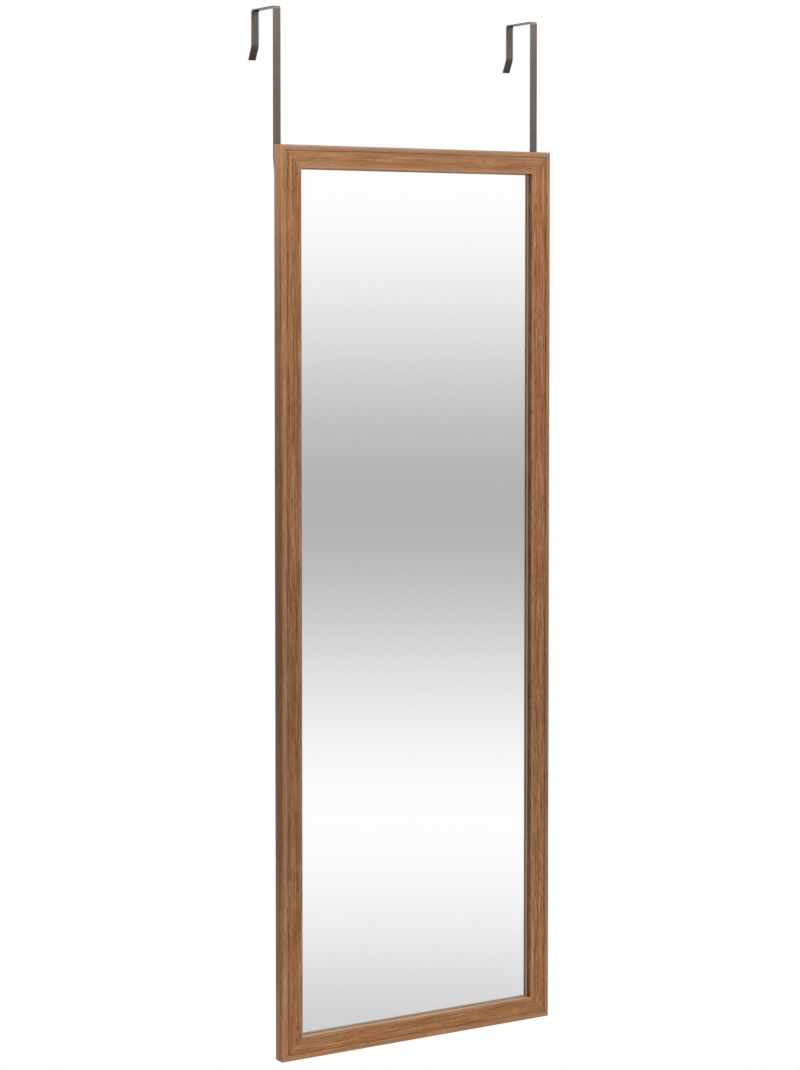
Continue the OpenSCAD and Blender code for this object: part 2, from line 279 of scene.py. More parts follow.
class MouldingSettings(bpy.types.PropertyGroup):
    """Wood-effect foil on the frame, and the fibreboard under it"""

    foil_dark: tint("Foil, dark grain", "#70400D", "Colour of the darkest grain lines")
    foil_mid: tint("Foil, middle", "#8E6038", "Colour of most of the foil")
    foil_light: tint("Foil, light grain", "#AE7F59", "Colour of the lightest grain lines")
    foil_red: tint("Foil, red streaks", "#965B35", "Colour of the broad reddish streaks")
    # Painted sheen: the grey that the frame's sides lean to at the back, and most near the ends
    foil_sheen_grey: tint("Foil, back edge", "#705C4E", "Colour of the rubbed foil along the frame's back edges")
    # Also the colour that the painted sheen on the rim, the sight edge and the bottom rail's wall leans to
    foil_wear_and_sheen: tint("Foil, worn", "#8E755C", "Colour that the worn rim leans towards")
    board: tint("Raw fibreboard", "#C2AB8C", "Colour of the moulding's bare back and rebate")
    grain_width: FloatProperty(
        name="Grain width",
        description="Width of one printed grain line",
        unit="LENGTH",
        min=0.5 * MM,
        max=8 * MM,
        precision=5,
        default=1.5 * MM,
    )
    grain_length: FloatProperty(
        name="Grain length",
        description="Length over which a grain line changes",
        unit="LENGTH",
        min=10 * MM,
        max=600 * MM,
        precision=4,
        default=60 * MM,
    )
    foil_wrap: FloatProperty(
        name="Foil wrap",
        description="Width of foil turned round on to the frame's back",
        unit="LENGTH",
        min=1 * MM,
        max=12 * MM,
        precision=4,
        default=5 * MM,
    )
    mitre_edge: FloatProperty(
        name="Mitre edge",
        description="Width of the worn arris on each side of a mitre",
        unit="LENGTH",
        min=0.05 * MM,
        max=0.5 * MM,
        precision=5,
        default=0.15 * MM,
    )


class GlassSettings(bpy.types.PropertyGroup):
    """Float glass, silvered on its back"""

    silver: tint("Silvering", "#FEFEFE", "Colour of the silver layer seen through the glass")
    arris: FloatProperty(
        name="Arris",
        description="Width of the rubbed-down edge of the glass",
        unit="LENGTH",
        min=0.1 * MM,
        max=1 * MM,
        precision=5,
        default=0.4 * MM,
    )
    seat_gap: FloatProperty(
        name="Seat gap",
        description="Hair's breadth between the pane and the lip and sheet it touches",
        unit="LENGTH",
        min=0.01 * MM,
        max=0.2 * MM,
        precision=5,
        default=0.05 * MM,
    )


class StrapSettings(bpy.types.PropertyGroup):
    """Plated steel straps"""

    steel: tint("Steel", "#69605A", "Colour of the straps' grey-brown plating")
    edge_radius: FloatProperty(
        name="Edge radius",
        description="Radius of the straps' tumbled edges",
        unit="LENGTH",
        min=0.05 * MM,
        max=0.6 * MM,
        precision=5,
        default=0.25 * MM,
    )


class BackSettings(bpy.types.PropertyGroup):
    """What shows on the back"""

    hardboard: tint("Hardboard", "#7F5C3B", "Colour of the backing board")
    zinc: tint("Zinc", "#C4C7CA", "Colour of the plated screws, nails and points")
    rubber: tint("Rubber", "#29292A", "Colour of the bumpers")


class StageSettings(bpy.types.PropertyGroup):
    """Camera, light and floor"""

    camera_place: FloatVectorProperty(
        name="Camera",
        description="Where the camera stands",
        subtype="XYZ",
        unit="LENGTH",
        size=3,
        default=(-1.6494, -2.6812, -0.323),
    )
    camera_turn: FloatProperty(
        name="Camera turn",
        description="Turn of the view to the right of straight on",
        subtype="ANGLE",
        default=math.radians(31.41),
    )
    camera_dip: FloatProperty(
        name="Camera dip",
        description="Tilt of the view below level",
        subtype="ANGLE",
        default=math.radians(2.474),
    )
    focal_length: FloatProperty(
        name="Focal length",
        description="The lens, in millimetres on a 36 mm sensor",
        min=20,
        max=200,
        default=87.44,
    )
    floor_drop: FloatProperty(
        name="Floor drop",
        description="Height of the door, from its top edge down to the floor",
        unit="LENGTH",
        min=1.5,
        max=2.5,
        default=1.981,
    )


# ---- Materials -----------------------------------------------------------------------------------


def printed(tree, member, size, detail=2.0, wander=None):
    """Noise with marks of this size: so wide across the member, and so long along it."""
    turn = (0, math.radians(90), 0) if member.axis == 2 else (0, 0, 0)
    place = stretched(tree, *size, turn, member.roll)
    if wander:
        moved = add(tree, "ShaderNodeVectorMath", {0: wander, 1: place}, operation="ADD")
        place = moved.outputs["Vector"]
    inputs = {"Vector": place, "Scale": 1.0, "Detail": detail, "Roughness": 0.6}
    return add(tree, "ShaderNodeTexNoise", inputs).outputs


def grain_print(tree, settings, member):
    """The foil's print: its colour, its grain lines, and how high its surface stands."""
    # Slow sideways wander of up to half a line, so that the lines are not ruled
    drift = add(
        tree,
        "ShaderNodeVectorMath",
        {0: printed(tree, member, PRINT_WANDER)["Color"], 1: (0.9, 0.9, 0.0)},
        operation="MULTIPLY",
    ).outputs["Vector"]
    lines = printed(tree, member, (settings.grain_width, settings.grain_length), 3.0, drift)["Fac"]
    flecks = printed(tree, member, PRINT_FLECK, wander=drift)["Fac"]
    figure = add(tree, "ShaderNodeMix", {"Factor": 0.35, "A": lines, "B": flecks}).outputs["Result"]
    strength = add(
        tree,
        "ShaderNodeMath",
        {0: figure, 1: member.contrast, 2: 0.5 * (1 - member.contrast)},
        operation="MULTIPLY_ADD",
    ).outputs["Value"]
    grain = ramp(
        add(tree, "ShaderNodeValToRGB", {"Fac": strength}),
        [
            (0.405, rgba(settings.foil_dark)),
            (0.5, rgba(settings.foil_mid)),
            (0.61, rgba(settings.foil_light)),
        ],
    )

    # Broad streaks where the print is redder
    streaks = printed(tree, member, PRINT_STREAK)["Fac"]
    red = add(
        tree,
        "ShaderNodeMapRange",
        {"Value": streaks, "From Min": 0.42, "From Max": 0.62, "To Max": 0.45},
    ).outputs["Result"]
    toned = add(
        tree,
        "ShaderNodeMix",
        {"Factor": red, 6: grain, 7: rgba(settings.foil_red)},
        data_type="RGBA",
    ).outputs[2]

    pores = printed(tree, member, PRINT_PORE)["Fac"]
    pore = add(
        tree,
        "ShaderNodeMapRange",
        {"Value": pores, "From Min": 0.55, "From Max": 0.75, "To Max": 0.5},
    ).outputs["Result"]
    inked = add(
        tree,
        "ShaderNodeMix",
        {"Factor": pore, 6: toned, 7: rgba(settings.foil_dark)},
        data_type="RGBA",
    ).outputs[2]
    height = add(tree, "ShaderNodeMath", {0: figure, 1: pore}, operation="SUBTRACT").outputs["Value"]
    return inked, lines, height


def stain_and_painted_light(tree, settings, node, axes, inked):
    """The print under its stain and its painted light, which follow the moulding, and so go by the
    distance in from the outer edge: painted shade on the outer side, painted sheen on the rim and the
    sight edge, and on the wall beside the glass painted light on the bottom rail and painted shade on
    the others. The ramp's red says how pale the foil is drawn there, and its green how far it leans to
    the wear-and-sheen colour. Last, painted light makes it brighter or darker along the frame's height."""
    member = MEMBERS[node]
    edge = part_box(node)[1 if member.sign > 0 else 0][member.axis]
    inward = add(
        tree,
        "ShaderNodeMapRange",
        {"Value": axes[member.axis], "From Min": edge, "From Max": edge - member.sign * STAIN_AND_LIGHT_REACH},
    ).outputs["Result"]
    stain_and_light_stops = [SIDE_PAINTED_SHADE]
    stain_and_light_stops += [(at, pale * member.rim, worn) for at, pale, worn in RIM_SHEEN_STOPS]
    stain_and_light_stops += [(at, pale, worn + member.faded) for at, pale, worn in BAND_STOPS]
    # Painted light on the bottom rail's wall, which faces up, and painted shade on the other walls. The
    # second value adds painted sheen
    stain_and_light_stops += [(WALL_AT, member.wall, member.wall_worn)]
    stops = [(at * MM / STAIN_AND_LIGHT_REACH, (pale, worn, 0, 1)) for at, pale, worn in stain_and_light_stops]
    stain_and_light_ramp = ramp(add(tree, "ShaderNodeValToRGB", {"Fac": inward}), stops)
    shares = add(tree, "ShaderNodeSeparateColor", {"Color": stain_and_light_ramp}).outputs
    faded = add(
        tree,
        "ShaderNodeMix",
        {"Factor": shares["Green"], 6: inked, 7: rgba(settings.foil_wear_and_sheen)},
        data_type="RGBA",
    ).outputs[2]
    wiped = add(
        tree,
        "ShaderNodeMapRange",
        {"Value": shares["Red"], "To Min": STAIN_AND_LIGHT_DARK * member.tone, "To Max": STAIN_AND_LIGHT_PALE * member.tone},
        clamp=False,
    ).outputs["Result"]
    stained = add(tree, "ShaderNodeVectorMath", {0: faded, "Scale": wiped}, operation="SCALE")

    # Painted light: the stained foil is drawn brighter near the frame's top and bottom and darker around
    # its lower middle
    up = add(
        tree,
        "ShaderNodeMapRange",
        {"Value": axes["Z"], "From Min": FRAME_BOTTOM, "From Max": FRAME_TOP},
    ).outputs["Result"]
    shade = ramp(
        add(tree, "ShaderNodeValToRGB", {"Fac": up}),
        [(at, (bright, bright, bright, 1)) for at, bright in PAINTED_LIGHT_BY_HEIGHT],
    )
    return add(
        tree,
        "ShaderNodeVectorMath",
        {0: stained.outputs["Vector"], 1: shade},
        operation="MULTIPLY",
    ).outputs["Vector"]


def greyed_sides_and_sheen(tree, settings, axes, stained):
    """The stained foil, greyed towards the back of the frame's sides, and most of all near the frame's
    top and bottom, where the grey is a painted sheen."""
    tall = FRAME_TOP - FRAME_BOTTOM
    from_middle = add(
        tree,
        "ShaderNodeMath",
        {0: axes["Z"], 1: (FRAME_BOTTOM + FRAME_TOP) / 2},
        operation="SUBTRACT",
    ).outputs["Value"]
    distance = add(tree, "ShaderNodeMath", {0: from_middle}, operation="ABSOLUTE").outputs["Value"]
    sheen_near_ends = add(
        tree,
        "ShaderNodeMapRange",
        {
            "Value": distance,
            "From Min": SHEEN_GREY_LEAST[0] * tall,
            "From Max": SHEEN_GREY_MOST[0] * tall,
            "To Min": SHEEN_GREY_LEAST[1],
            "To Max": SHEEN_GREY_MOST[1],
        },
    ).outputs["Result"]
    # Painted sheen: greyer towards the back of the sides and near the frame's ends
    rubbed = add(
        tree,
        "ShaderNodeMapRange",
        {"Value": axes["Y"], "From Min": SIDE_GREY_FROM, "From Max": SIDE_GREY_TO, "To Max": sheen_near_ends},
    ).outputs["Result"]
    return add(
        tree,
        "ShaderNodeMix",
        {"Factor": rubbed, 6: stained, 7: rgba(settings.foil_sheen_grey)},
        data_type="RGBA",
    ).outputs[2]


def foil_material(settings, node):
    """Wood-effect foil wrapped on fibreboard: short printed grain under a satin lacquer, left dark in the
    groove, with painted sheen on the rim and sight edge, painted light and shade on the sides, the walls
    and along the height, and the print's pores pressed in a little."""
    material, tree, shader = new_material("foil_" + node)
    place = add(tree, "ShaderNodeTexCoord").outputs["Object"]
    axes = add(tree, "ShaderNodeSeparateXYZ", {"Vector": place}).outputs
    inked, lines, height = grain_print(tree, settings, MEMBERS[node])
    stained = stain_and_painted_light(tree, settings, node, axes, inked)
    gloss = add(tree, "ShaderNodeMapRange", {"Value": lines, "To Min": 0.44, "To Max": 0.3})
    relief = add(tree, "ShaderNodeBump", {"Height": height, "Strength": 0.3, "Distance": 0.1 * MM})
    connect(
        tree,
        shader,
        Base_Color=greyed_sides_and_sheen(tree, settings, axes, stained),
        Roughness=gloss.outputs["Result"],
        Normal=relief.outputs["Normal"],
    )
    shader.inputs["IOR"].default_value = 1.5
    shader.inputs["Specular IOR Level"].default_value = 0.22
    shader.inputs["Coat Weight"].default_value = 0.15
    shader.inputs["Coat Roughness"].default_value = 0.22
    return material


def raw_board_material(settings, name, glow=0.0):
    """Medium density fibreboard as the cutter left it: matt, pale brown, with fine fibre specks. The
    glow stands for light that comes in under the glass, which the renderer does not trace."""
    material, tree, shader = new_material(name)
    fibres = add(
        tree,
        "ShaderNodeTexNoise",
        {"Vector": stretched(tree, *BOARD_FIBRE), "Scale": 1.0, "Detail": 4.0, "Roughness": 0.7},
    ).outputs["Fac"]
    board = Vector(settings.board)
    speckled = ramp(
        add(tree, "ShaderNodeValToRGB", {"Fac": fibres}),
        [(0.3, rgba(board * 0.78)), (0.5, rgba(board)), (0.72, rgba(board * 1.15))],
    )
    relief = add(tree, "ShaderNodeBump", {"Height": fibres, "Strength": 0.5, "Distance": 0.15 * MM})
    connect(tree, shader, Base_Color=speckled, Emission_Color=speckled, Normal=relief.outputs["Normal"])
    shader.inputs["Emission Strength"].default_value = glow
    shader.inputs["Roughness"].default_value = 0.9
    return material


def float_glass_material():
    """Clear soda-lime float glass, fire-polished flat, so what is behind it stays sharp."""
    material, tree, shader = new_material("float_glass")
    shader.inputs["Base Color"].default_value = rgba(colour("#FFFFFF"))
    shader.inputs["Transmission Weight"].default_value = 1.0
    shader.inputs["Roughness"].default_value = 0.0
    shader.inputs["IOR"].default_value = 1.52
    return material


def silvering_material(settings):
    """Silver laid on the back of the glass by a wet process: a full mirror with no texture."""
    material, tree, shader = new_material("silvering")
    shader.inputs["Base Color"].default_value = rgba(settings.silver)
    shader.inputs["Metallic"].default_value = 1.0
    shader.inputs["Roughness"].default_value = 0.0
    return material


def coated_steel_material(settings):
    """Mild steel strip with a satin gun-metal plating: rolled lines along its length break the
    highlights, and the plating varies a little from place to place."""
    material, tree, shader = new_material("plated_steel_strip")
    rolled = add(
        tree,
        "ShaderNodeTexNoise",
        {"Vector": stretched(tree, *STEEL_ROLLED), "Scale": 1.0, "Detail": 3.0, "Roughness": 0.6},
    ).outputs["Fac"]
    cloud = add(
        tree,
        "ShaderNodeTexNoise",
        {"Vector": stretched(tree, *STEEL_CLOUD), "Scale": 1.0, "Detail": 2.0},
    ).outputs["Fac"]
    mixed = add(tree, "ShaderNodeMath", {0: rolled, 1: cloud}, operation="MULTIPLY").outputs["Value"]
    steel = Vector(settings.steel)
    plated = ramp(
        add(tree, "ShaderNodeValToRGB", {"Fac": mixed}),
        [(0.12, rgba(steel * 0.92)), (0.25, rgba(steel)), (0.42, rgba(steel * 1.06))],
    )
    rough = add(tree, "ShaderNodeMapRange", {"Value": rolled, "To Min": 0.46, "To Max": 0.36})
    relief = add(tree, "ShaderNodeBump", {"Height": rolled, "Strength": 0.12, "Distance": 0.05 * MM})
    connect(
        tree,
        shader,
        Base_Color=plated,
        Roughness=rough.outputs["Result"],
        Normal=relief.outputs["Normal"],
    )
    shader.inputs["Metallic"].default_value = 1.0
    return material


def zinc_material(settings):
    """Bright zinc plating on cold-headed or stamped steel: a grey metal with a faint crystal mottle."""
    material, tree, shader = new_material("zinc_plated_steel")
    crystals = add(
        tree,
        "ShaderNodeTexVoronoi",
        {"Vector": stretched(tree, *ZINC_CRYSTAL), "Scale": 1.0},
    ).outputs["Color"]
    mottle = add(tree, "ShaderNodeSeparateColor", {"Color": crystals}).outputs["Red"]
    zinc = Vector(settings.zinc)
    shade = ramp(
        add(tree, "ShaderNodeValToRGB", {"Fac": mottle}), [(0.0, rgba(zinc * 0.86)), (1.0, rgba(zinc))]
    )
    rough = add(tree, "ShaderNodeMapRange", {"Value": mottle, "To Min": 0.28, "To Max": 0.4})
    connect(tree, shader, Base_Color=shade, Roughness=rough.outputs["Result"])
    shader.inputs["Metallic"].default_value = 1.0
    return material


def hardboard_material(settings):
    """Wet-process hardboard, screen side out: brown and hard, with the wire screen's weave pressed in
    and darker fibre clots."""
    material, tree, shader = new_material("hardboard_screen_side")
    clots = add(
        tree,
        "ShaderNodeTexNoise",
        {"Vector": stretched(tree, *HARDBOARD_CLOT), "Scale": 1.0, "Detail": 5.0, "Roughness": 0.65},
    ).outputs["Fac"]
    board = Vector(settings.hardboard)
    shade = ramp(
        add(tree, "ShaderNodeValToRGB", {"Fac": clots}),
        [(0.3, rgba(board * 0.72)), (0.52, rgba(board)), (0.75, rgba(board * 1.22))],
    )
    grid = add(tree, "ShaderNodeSeparateXYZ", {"Vector": stretched(tree, *HARDBOARD_WEAVE)}).outputs
    waves = []
    for axis in ("X", "Z"):
        turns = add(tree, "ShaderNodeMath", {0: grid[axis], 1: math.tau}, operation="MULTIPLY")
        wave = add(tree, "ShaderNodeMath", {0: turns.outputs["Value"]}, operation="SINE")
        waves.append(wave.outputs["Value"])
    weave = add(tree, "ShaderNodeMath", {0: waves[0], 1: waves[1]}, operation="MULTIPLY").outputs["Value"]
    height = add(tree, "ShaderNodeMath", {0: weave, 1: clots}, operation="ADD").outputs["Value"]
    relief = add(tree, "ShaderNodeBump", {"Height": height, "Strength": 0.5, "Distance": 0.12 * MM})
    connect(tree, shader, Base_Color=shade, Normal=relief.outputs["Normal"])
    shader.inputs["Roughness"].default_value = 0.62
    return material


def kraft_material():
    """Unbleached kraft board: matt, buff, with long fibres."""
    material, tree, shader = new_material("kraft_board")
    fibres = add(
        tree,
        "ShaderNodeTexNoise",
        {"Vector": stretched(tree, *KRAFT_FIBRE), "Scale": 1.0, "Detail": 4.0},
    ).outputs["Fac"]
    shade = ramp(
        add(tree, "ShaderNodeValToRGB", {"Fac": fibres}),
        [(0.35, rgba(colour("#A88A62"))), (0.65, rgba(colour("#C3A77F")))],
    )
    connect(tree, shader, Base_Color=shade)
    shader.inputs["Roughness"].default_value = 0.9
    return material


def rubber_material(settings):
    """Moulded black rubber: dull, with the mould's fine spark-eroded grain."""
    material, tree, shader = new_material("moulded_rubber")
    grain = add(
        tree,
        "ShaderNodeTexNoise",
        {"Vector": stretched(tree, *RUBBER_GRAIN), "Scale": 1.0, "Detail": 3.0},
    ).outputs["Fac"]
    rubber = Vector(settings.rubber)
    shade = ramp(
        add(tree, "ShaderNodeValToRGB", {"Fac": grain}),
        [(0.3, rgba(rubber * 0.85)), (0.7, rgba(rubber * 1.2))],
    )
    relief = add(tree, "ShaderNodeBump", {"Height": grain, "Strength": 0.4, "Distance": 0.05 * MM})
    connect(tree, shader, Base_Color=shade, Normal=relief.outputs["Normal"])
    shader.inputs["Roughness"].default_value = 0.68
    return material


# ---- Frame ---------------------------------------------------------------------------------------


def merged_copy(node):
    """A CAD node's surface with its triangles merged into flat faces."""
    bm = bmesh.new()
    bm.from_mesh(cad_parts[node].data)
    bmesh.ops.remove_doubles(bm, verts=bm.verts[:], dist=MERGE)
    bmesh.ops.dissolve_limit(bm, angle_limit=FLAT, verts=bm.verts[:], edges=bm.edges[:])
    bmesh.ops.recalc_face_normals(bm, faces=bm.faces[:])
    return bm


def is_mitre(face):
    """Whether a face is one of a member's two ends, cut at 45 degrees, and not a pilot hole's side."""
    slanting = abs(face.normal.y) < ASKEW and 0.6 < abs(face.normal.x) < 0.8
    return slanting and face.calc_area() > MITRE_AREA


class MIRROR_OT_moulding(bpy.types.Operator):
    """Make the four lengths of moulding: wood-effect foil over bare fibreboard, with worn mitres"""

    bl_idname = "door_mirror.moulding"
    bl_label = "Moulding"

    def execute(self, context):
        settings = context.scene.door_mirror_moulding
        board = raw_board_material(settings, "raw_fibreboard")
        lip = raw_board_material(settings, "raw_fibreboard_under_the_lip", LIP_GLOW)
        for node in MEMBERS:
            foil = foil_material(settings, node)
            bm = self.wrapped(node, settings)
            piece = new_piece(node + "_moulding", bm, [foil, board, lip], node)
            smooth(piece)
            even = piece.modifiers.new("flat faces stay flat", "WEIGHTED_NORMAL")
            even.keep_sharp = True
        return {"FINISHED"}

    def wrapped(self, node, settings):
        """The member's shape: material 0 where the foil is wrapped round it, 1 where the board is bare,
        and 2 where the bare lip rests on the glass."""
        member = MEMBERS[node]
        low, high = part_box(node)
        edge = (high if member.sign > 0 else low)[member.axis]
        lip_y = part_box("mirror_glass")[0].y
        bm = merged_copy(node)

        around = set()
        for face in bm.faces:
            if face.normal.y > SQUARE_ON and face.calc_center_median().y > high.y - TOUCH:
                around.update([face], face.edges, face.verts)
        normal = Vector((0, 0, 0))
        normal[member.axis] = 1
        bmesh.ops.bisect_plane(
            bm,
            geom=list(around),
            dist=0.1 * MERGE,
            plane_co=normal * (edge - member.sign * settings.foil_wrap),
            plane_no=normal,
        )
        for face in bm.faces:
            middle = face.calc_center_median()
            inward = abs(middle[member.axis] - edge)
            side = inward < TOUCH
            turned_round = inward < settings.foil_wrap and face.normal.y > 0.5
            face_side = middle.y < lip_y - TOUCH and face.normal.y < ASKEW and not is_mitre(face)
            at_glass = abs(middle.y - lip_y) < TOUCH and face.normal.y > SQUARE_ON
            face.material_index = 0 if side or turned_round or face_side else 2 if at_glass else 1

        arrises = [
            e
            for e in bm.edges
            if len(e.link_faces) == 2
            and any(is_mitre(f) for f in e.link_faces)
            and any(f.material_index == 0 for f in e.link_faces)
        ]
        bmesh.ops.bevel(
            bm,
            geom=arrises,
            offset=settings.mitre_edge,
            segments=1,
            profile=0.5,
            affect="EDGES",
            material=-1,
        )
        return bm


# ---- Glass ---------------------------------------------------------------------------------------


class MIRROR_OT_glass(bpy.types.Operator):
    """Make the pane of float glass with its arrissed edges and silvered back"""

    bl_idname = "door_mirror.glass"
    bl_label = "Mirror glass"

    def execute(self, context):
        settings = context.scene.door_mirror_glass
        low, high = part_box("mirror_glass")
        low.y += settings.seat_gap
        high.y -= settings.seat_gap
        size, middle = high - low, (high + low) / 2
        bm = bmesh.new()
        bmesh.ops.create_cube(bm, size=1.0, matrix=Matrix.Translation(middle) @ Matrix.Diagonal((*size, 1)))
        bmesh.ops.bevel(
            bm,
            geom=bm.edges[:],
            offset=settings.arris,
            segments=1,
            profile=0.5,
            affect="EDGES",
            material=-1,
        )
        for face in bm.faces:
            face.material_index = 1 if face.normal.y > SQUARE_ON else 0
        new_piece(
            "silvered_pane",
            bm,
            [float_glass_material(), silvering_material(settings)],
            "mirror_glass",
        )
        return {"FINISHED"}


# ---- Back ----------------------------------------------------------------------------------------


def turned(bm, profile, steps):
    """Spins a profile of (radius, height) points about Z into a shell, closed where it meets Z."""
    verts = [bm.verts.new((r, 0, z)) for r, z in profile]
    edges = [bm.edges.new(pair) for pair in zip(verts, verts[1:])]
    bmesh.ops.spin(
        bm,
        geom=verts + edges,
        cent=(0, 0, 0),
        axis=(0, 0, 1),
        angle=math.tau,
        steps=steps,
        use_merge=True,
    )


class MIRROR_OT_back(bpy.types.Operator):
    """Dress the backing board, cushion sheet, back points and corner nails, and make the bumpers"""

    bl_idname = "door_mirror.back"
    bl_label = "Back and bumpers"

    def execute(self, context):
        settings = context.scene.door_mirror_back
        zinc = zinc_material(settings)
        put_on("backing_board", hardboard_material(settings))
        put_on("cushion_sheet", kraft_material())
        for edge in EDGES:
            put_on("back_points_" + edge, zinc)
        for corner in CORNERS:
            put_on("corner_nails_" + corner, zinc)
        rubber = rubber_material(settings)
        for side in SIDES:
            self.bumper(side, rubber)
        return {"FINISHED"}

    def bumper(self, side, rubber):
        """A moulded bumper: tapered, with a rounded rim and a shallow dish in its face."""
        low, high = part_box(side + "_bumper")
        foot, tall = (high.x - low.x) / 2, high.y - low.y
        outline = [(0, 0), (foot - BUMPER_FOOT_EDGE, 0), (foot, BUMPER_FOOT_EDGE)]
        outline += [(foot - inward * MM, tall - down * MM) for inward, down in BUMPER_OUTLINE]
        outline += [(0, tall - BUMPER_DISH)]
        bm = bmesh.new()
        turned(bm, outline, steps=64)
        bmesh.ops.remove_doubles(bm, verts=bm.verts[:], dist=MERGE)
        place = Matrix.Translation(((low.x + high.x) / 2, low.y, (low.z + high.z) / 2))
        bmesh.ops.transform(bm, matrix=place @ UPRIGHT_TO_BACK, verts=bm.verts[:])
        bmesh.ops.recalc_face_normals(bm, faces=bm.faces[:])
        bumper = new_piece(side + "_rubber_bumper", bm, [rubber], side + "_bumper")
        smooth(bumper, angle=50)


class MIRROR_OT_screws(bpy.types.Operator):
    """Make the pan head screws with their cross recesses and rolled threads"""

    bl_idname = "door_mirror.screws"
    bl_label = "Screws"

    def execute(self, context):
        zinc = zinc_material(context.scene.door_mirror_back)
        for side in SIDES:
            low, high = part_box(side + "_strap_screws")
            head_r = (high.x - low.x) / 2
            seat_y = high.y - HEAD_HEIGHT
            bm = bmesh.new()
            for z in (low.z + head_r, high.z - head_r):
                place = Matrix.Translation(((low.x + high.x) / 2, seat_y, z))
                self.screw(bm, place @ UPRIGHT_TO_BACK, head_r, seat_y - low.y)
            bmesh.ops.recalc_face_normals(bm, faces=bm.faces[:])
            screws = new_piece(side + "_pan_head_screws", bm, [zinc], side + "_strap_screws")
            smooth(screws, angle=35)
        return {"FINISHED"}

    def screw(self, bm, place, head_r, length):
        """Adds one screw to the bmesh, made with its head up and then put in place."""
        before = set(bm.verts)
        outline = [(across * head_r, up * HEAD_HEIGHT) for across, up in HEAD_OUTLINE]
        outline += [
            (NECK_FLARE * CORE_RADIUS, 0),
            (CORE_RADIUS, -NECK_LENGTH),
            (CORE_RADIUS, POINT_LENGTH - length),
            (TIP_RADIUS, TIP_LENGTH - length),
            (0, -length),
        ]
        turned(bm, outline, steps=24)
        bmesh.ops.remove_doubles(bm, verts=bm.verts[:], dist=MERGE)
        self.recess(bm, before)
        self.thread(bm, THREAD_SHORT - length)
        bmesh.ops.transform(bm, matrix=place, verts=[v for v in bm.verts if v not in before])

    def recess(self, bm, before):
        """Closes the top of the head with a cross and sinks it, narrower towards its floor."""
        rim = [e for e in bm.edges if e.is_boundary and e.verts[0] not in before]
        cross = bmesh.ops.create_grid(
            bm,
            x_segments=3,
            y_segments=3,
            size=CROSS_ARM,
            matrix=Matrix.Translation((0, 0, HEAD_CROWN)),
        )["verts"]
        for vert in cross:
            for axis in (0, 1):
                if abs(vert.co[axis]) < CROSS_ARM / 2:
                    vert.co[axis] = math.copysign(CROSS_HALF_WIDTH, vert.co[axis])
        faces = {f for v in cross for f in v.link_faces}
        corners = []
        for face in faces:
            middle = face.calc_center_median()
            if min(abs(middle.x), abs(middle.y)) > CROSS_HALF_WIDTH:
                corners.append(face)
        bmesh.ops.delete(bm, geom=corners, context="FACES")
        faces -= set(corners)
        outline = [e for f in faces for e in f.edges if e.is_boundary]
        bmesh.ops.bridge_loops(bm, edges=rim + outline)
        sunk = bmesh.ops.extrude_face_region(bm, geom=list(faces))["geom"]
        floor = [v for v in sunk if isinstance(v, bmesh.types.BMVert)]
        bmesh.ops.delete(bm, geom=[f for f in faces if f.is_valid], context="FACES_ONLY")
        bmesh.ops.translate(bm, vec=(0, 0, -CROSS_DEPTH), verts=floor)
        bmesh.ops.scale(bm, vec=(CROSS_FLOOR, CROSS_FLOOR, 1), verts=floor)

    def thread(self, bm, lowest):
        """Winds a thread of triangular section round the core, from under the neck to the point."""
        start, root = -THREAD_FROM, 0.9 * CORE_RADIUS
        turns = math.floor((start - lowest) / THREAD_PITCH)
        corners = (
            (root, 0, start),
            (CREST_RADIUS, 0, start - THREAD_WIDTH / 2),
            (root, 0, start - THREAD_WIDTH),
        )
        section = [bm.verts.new(corner) for corner in corners]
        face = bm.faces.new(section)
        bmesh.ops.spin(
            bm,
            geom=section + list(face.edges) + [face],
            cent=(0, 0, 0),
            axis=(0, 0, 1),
            dvec=(0, 0, -THREAD_PITCH / THREAD_STEPS),
            angle=math.tau * turns,
            steps=THREAD_STEPS * turns,
        )


# ---- Straps --------------------------------------------------------------------------------------


class MIRROR_OT_straps(bpy.types.Operator):
    """Make the two bent straps with their tumbled edges"""

    bl_idname = "door_mirror.straps"
    bl_label = "Straps"

    def execute(self, context):
        settings = context.scene.door_mirror_straps
        steel = coated_steel_material(settings)
        for side in SIDES:
            bm = merged_copy(side + "_strap")
            strap = new_piece(side + "_strap_bar", bm, [steel], side + "_strap")
            smooth(strap)
            rounding = strap.modifiers.new("tumbled edges", "BEVEL")
            rounding.width = settings.edge_radius
            rounding.segments = 2
            rounding.limit_method = "ANGLE"
            rounding.angle_limit = math.radians(40)
            rounding.harden_normals = True
        return {"FINISHED"}


# ---- Stage ---------------------------------------------------------------------------------------

# What shiny surfaces see in the studio, as (elevation in degrees, sRGB grey): a white sweep with a
# grey belt a little below eye level, and a dark floor near the object's feet
STUDIO_BELT = (
    (-90, 150),
    (-50, 170),
    (-30, 185),
    (-17.5, 200),
    (-11.8, 254),
    (-4.9, 180),
    (2.5, 255),
    (90, 255),
)
# A shiny surface that faces back sees a plain sweep instead: it takes over from the belt in this range
# of the line of sight's Y, and gets lighter by so much in that range of its Z
BEHIND = (0.0, 0.3)
SWEEP_HEIGHT, SWEEP_LIGHT = (-0.6, -0.2), (0.3, 1.0)
# Both are dimmer towards the left, by so much in this range of the line of sight's X
DIM_SIDE, DIM_LIGHT = (-0.5, -0.1), (0.12, 1.0)
# The soft dome that lights dull surfaces: its mean, how far it goes above and below that, and the way to
# its brightest place
DOME_MIDDLE = 0.725
DOME_SPREAD = 0.6
DOME_WAY = (0.75, -0.35, 0.56)

